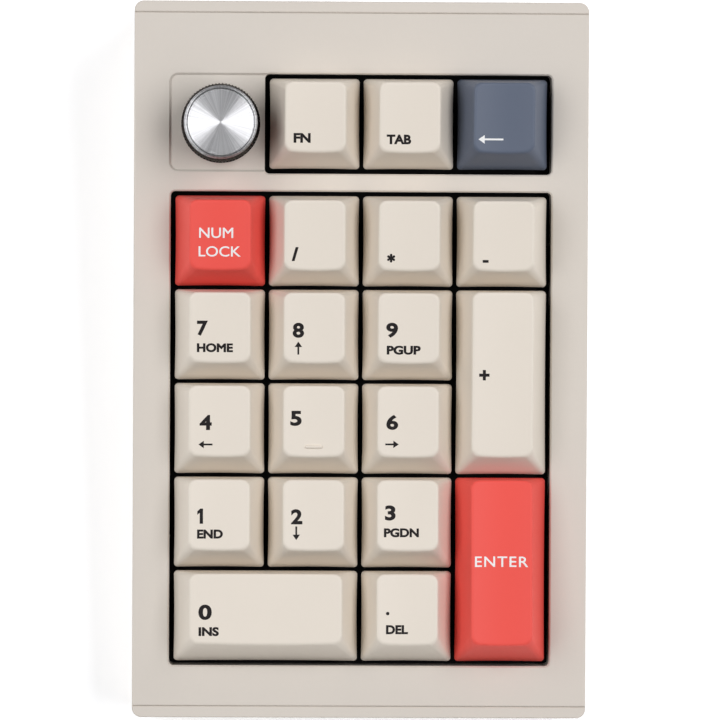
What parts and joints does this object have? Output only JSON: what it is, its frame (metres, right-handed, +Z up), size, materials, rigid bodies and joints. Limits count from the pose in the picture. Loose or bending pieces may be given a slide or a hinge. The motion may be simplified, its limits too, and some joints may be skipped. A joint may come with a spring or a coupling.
{
  "type": "numeric keypad",
  "caption": "Desktop numeric keypad with dished keys in a wedge-shaped plastic case, and a knurled push-and-turn knob in a shallow pocket at the rear left",
  "frame": {"origin": "middle of the bounding box's underside, where the feet meet the desk", "axes": "+X to the user's right, +Y to the rear edge (cord side), +Z up; the deck leans back by 6 degrees about X"},
  "size_m": [0.0922, 0.1483, 0.0457],
  "materials": {
    "case": "fine satin texture, warm light grey",
    "cap_cream": "fine matt grain, warm cream",
    "cap_red": "fine matt grain, warm red",
    "cap_slate": "fine matt grain, blue grey",
    "slider_plastic": "self-lubricating plastic, smooth",
    "switch_black": "black nylon",
    "plate": "black powder coat",
    "board": "black solder mask",
    "chip": "black moulding compound",
    "spring_steel": "drawn spring wire",
    "encoder_metal": "die-cast, fine grain",
    "knob_aluminium": "spun face, knurled grip, satin anodised",
    "socket_steel": "drawn shell",
    "screw_steel": "black oxide",
    "foot_rubber": "matt rubber",
    "pad_foam": "closed-cell foam"
  },
  "bodies": {
    "root": {"top_shell": "case", "bottom_shell": "case", "switch_plate": "plate", "circuit_board": "board", "controller_chip": "chip", "switch_bottom_housings": "switch_black", "switch_top_housings": "switch_black", "switch_springs": "spring_steel", "stabiliser_housings": "switch_black", "encoder_body": "encoder_metal", "usb_c_receptacle": "socket_steel", "case_screws": "screw_steel", "rubber_feet": "foot_rubber", "gasket_pads": "pad_foam"},
    "knob_push_body": {"encoder_plunger": "switch_black"},
    "knob_turn_body": {"encoder_shaft": "encoder_metal", "knob": "knob_aluminium"},
    "key_fn": {"keycap_fn": "cap_cream", "slider_fn": "slider_plastic"},
    "key_tab": {"keycap_tab": "cap_cream", "slider_tab": "slider_plastic"},
    "key_backspace": {"keycap_backspace": "cap_slate", "slider_backspace": "slider_plastic"},
    "key_num_lock": {"keycap_num_lock": "cap_red", "slider_num_lock": "slider_plastic"},
    "key_divide": {"keycap_divide": "cap_cream", "slider_divide": "slider_plastic"},
    "key_multiply": {"keycap_multiply": "cap_cream", "slider_multiply": "slider_plastic"},
    "key_minus": {"keycap_minus": "cap_cream", "slider_minus": "slider_plastic"},
    "key_7": {"keycap_7": "cap_cream", "slider_7": "slider_plastic"},
    "key_8": {"keycap_8": "cap_cream", "slider_8": "slider_plastic"},
    "key_9": {"keycap_9": "cap_cream", "slider_9": "slider_plastic"},
    "key_plus": {"keycap_plus": "cap_cream", "slider_plus": "slider_plastic"},
    "plus_stabiliser_wire_body": {"plus_stabiliser_wire": "spring_steel"},
    "key_4": {"keycap_4": "cap_cream", "slider_4": "slider_plastic"},
    "key_5": {"keycap_5": "cap_cream", "slider_5": "slider_plastic"},
    "key_6": {"keycap_6": "cap_cream", "slider_6": "slider_plastic"},
    "key_1": {"keycap_1": "cap_cream", "slider_1": "slider_plastic"},
    "key_2": {"keycap_2": "cap_cream", "slider_2": "slider_plastic"},
    "key_3": {"keycap_3": "cap_cream", "slider_3": "slider_plastic"},
    "key_enter": {"keycap_enter": "cap_red", "slider_enter": "slider_plastic"},
    "enter_stabiliser_wire_body": {"enter_stabiliser_wire": "spring_steel"},
    "key_0": {"keycap_0": "cap_cream", "slider_0": "slider_plastic"},
    "zero_stabiliser_wire_body": {"zero_stabiliser_wire": "spring_steel"},
    "key_point": {"keycap_point": "cap_cream", "slider_point": "slider_plastic"}
  },
  "joints": [
    {"name": "press_fn", "type": "slide", "parent": "root", "child": "key_fn", "axis": [0, 0.1045, -0.9945], "range_m": [0, 0.004], "stiffness_N_per_m": 69, "springref_m": -0.0046, "deforming": ["switch_springs"]},
    {"name": "press_tab", "type": "slide", "parent": "root", "child": "key_tab", "axis": [0, 0.1045, -0.9945], "range_m": [0, 0.004], "stiffness_N_per_m": 69, "springref_m": -0.0046, "deforming": ["switch_springs"]},
    {"name": "press_backspace", "type": "slide", "parent": "root", "child": "key_backspace", "axis": [0, 0.1045, -0.9945], "range_m": [0, 0.004], "stiffness_N_per_m": 69, "springref_m": -0.0046, "deforming": ["switch_springs"]},
    {"name": "press_num_lock", "type": "slide", "parent": "root", "child": "key_num_lock", "axis": [0, 0.1045, -0.9945], "range_m": [0, 0.004], "stiffness_N_per_m": 69, "springref_m": -0.0046, "deforming": ["switch_springs"]},
    {"name": "press_divide", "type": "slide", "parent": "root", "child": "key_divide", "axis": [0, 0.1045, -0.9945], "range_m": [0, 0.004], "stiffness_N_per_m": 69, "springref_m": -0.0046, "deforming": ["switch_springs"]},
    {"name": "press_multiply", "type": "slide", "parent": "root", "child": "key_multiply", "axis": [0, 0.1045, -0.9945], "range_m": [0, 0.004], "stiffness_N_per_m": 69, "springref_m": -0.0046, "deforming": ["switch_springs"]},
    {"name": "press_minus", "type": "slide", "parent": "root", "child": "key_minus", "axis": [0, 0.1045, -0.9945], "range_m": [0, 0.004], "stiffness_N_per_m": 69, "springref_m": -0.0046, "deforming": ["switch_springs"]},
    {"name": "press_7", "type": "slide", "parent": "root", "child": "key_7", "axis": [0, 0.1045, -0.9945], "range_m": [0, 0.004], "stiffness_N_per_m": 69, "springref_m": -0.0046, "deforming": ["switch_springs"]},
    {"name": "press_8", "type": "slide", "parent": "root", "child": "key_8", "axis": [0, 0.1045, -0.9945], "range_m": [0, 0.004], "stiffness_N_per_m": 69, "springref_m": -0.0046, "deforming": ["switch_springs"]},
    {"name": "press_9", "type": "slide", "parent": "root", "child": "key_9", "axis": [0, 0.1045, -0.9945], "range_m": [0, 0.004], "stiffness_N_per_m": 69, "springref_m": -0.0046, "deforming": ["switch_springs"]},
    {"name": "press_plus", "type": "slide", "parent": "root", "child": "key_plus", "axis": [0, 0.1045, -0.9945], "range_m": [0, 0.004], "stiffness_N_per_m": 69, "springref_m": -0.0046, "deforming": ["switch_springs"]},
    {"name": "swing_plus_stabiliser_wire", "type": "hinge", "parent": "root", "child": "plus_stabiliser_wire_body", "pos_m": [0.02017, -0.00516, 0.0169], "axis": [0, 0.9945, 0.1045], "range_deg": [0, 28.44]},
    {"name": "press_4", "type": "slide", "parent": "root", "child": "key_4", "axis": [0, 0.1045, -0.9945], "range_m": [0, 0.004], "stiffness_N_per_m": 69, "springref_m": -0.0046, "deforming": ["switch_springs"]},
    {"name": "press_5", "type": "slide", "parent": "root", "child": "key_5", "axis": [0, 0.1045, -0.9945], "range_m": [0, 0.004], "stiffness_N_per_m": 69, "springref_m": -0.0046, "deforming": ["switch_springs"]},
    {"name": "press_6", "type": "slide", "parent": "root", "child": "key_6", "axis": [0, 0.1045, -0.9945], "range_m": [0, 0.004], "stiffness_N_per_m": 69, "springref_m": -0.0046, "deforming": ["switch_springs"]},
    {"name": "press_1", "type": "slide", "parent": "root", "child": "key_1", "axis": [0, 0.1045, -0.9945], "range_m": [0, 0.004], "stiffness_N_per_m": 69, "springref_m": -0.0046, "deforming": ["switch_springs"]},
    {"name": "press_2", "type": "slide", "parent": "root", "child": "key_2", "axis": [0, 0.1045, -0.9945], "range_m": [0, 0.004], "stiffness_N_per_m": 69, "springref_m": -0.0046, "deforming": ["switch_springs"]},
    {"name": "press_3", "type": "slide", "parent": "root", "child": "key_3", "axis": [0, 0.1045, -0.9945], "range_m": [0, 0.004], "stiffness_N_per_m": 69, "springref_m": -0.0046, "deforming": ["switch_springs"]},
    {"name": "press_enter", "type": "slide", "parent": "root", "child": "key_enter", "axis": [0, 0.1045, -0.9945], "range_m": [0, 0.004], "stiffness_N_per_m": 69, "springref_m": -0.0046, "deforming": ["switch_springs"]},
    {"name": "swing_enter_stabiliser_wire", "type": "hinge", "parent": "root", "child": "enter_stabiliser_wire_body", "pos_m": [0.02017, -0.04305, 0.01292], "axis": [0, 0.9945, 0.1045], "range_deg": [0, 28.44]},
    {"name": "press_0", "type": "slide", "parent": "root", "child": "key_0", "axis": [0, 0.1045, -0.9945], "range_m": [0, 0.004], "stiffness_N_per_m": 69, "springref_m": -0.0046, "deforming": ["switch_springs"]},
    {"name": "swing_zero_stabiliser_wire", "type": "hinge", "parent": "root", "child": "zero_stabiliser_wire_body", "pos_m": [-0.01905, -0.06088, 0.01104], "axis": [-1, 0, 0], "range_deg": [0, 28.44]},
    {"name": "press_point", "type": "slide", "parent": "root", "child": "key_point", "axis": [0, 0.1045, -0.9945], "range_m": [0, 0.004], "stiffness_N_per_m": 69, "springref_m": -0.0046, "deforming": ["switch_springs"]},
    {"name": "knob_push", "type": "slide", "parent": "root", "child": "knob_push_body", "axis": [0, 0.1045, -0.9945], "range_m": [0, 0.0005], "stiffness_N_per_m": 3000, "springref_m": -0.0008},
    {"name": "knob_turn", "type": "hinge", "parent": "knob_push_body", "child": "knob_turn_body", "pos_m": [-0.02857, 0.04586, 0.03262], "axis": [0, -0.1045, 0.9945], "continuous": true}
  ],
  "couplings": [
    {"joint": "swing_plus_stabiliser_wire", "follows": "press_plus", "rad_per_m": 124.08},
    {"joint": "swing_enter_stabiliser_wire", "follows": "press_enter", "rad_per_m": 124.08},
    {"joint": "swing_zero_stabiliser_wire", "follows": "press_0", "rad_per_m": 124.08}
  ]
}
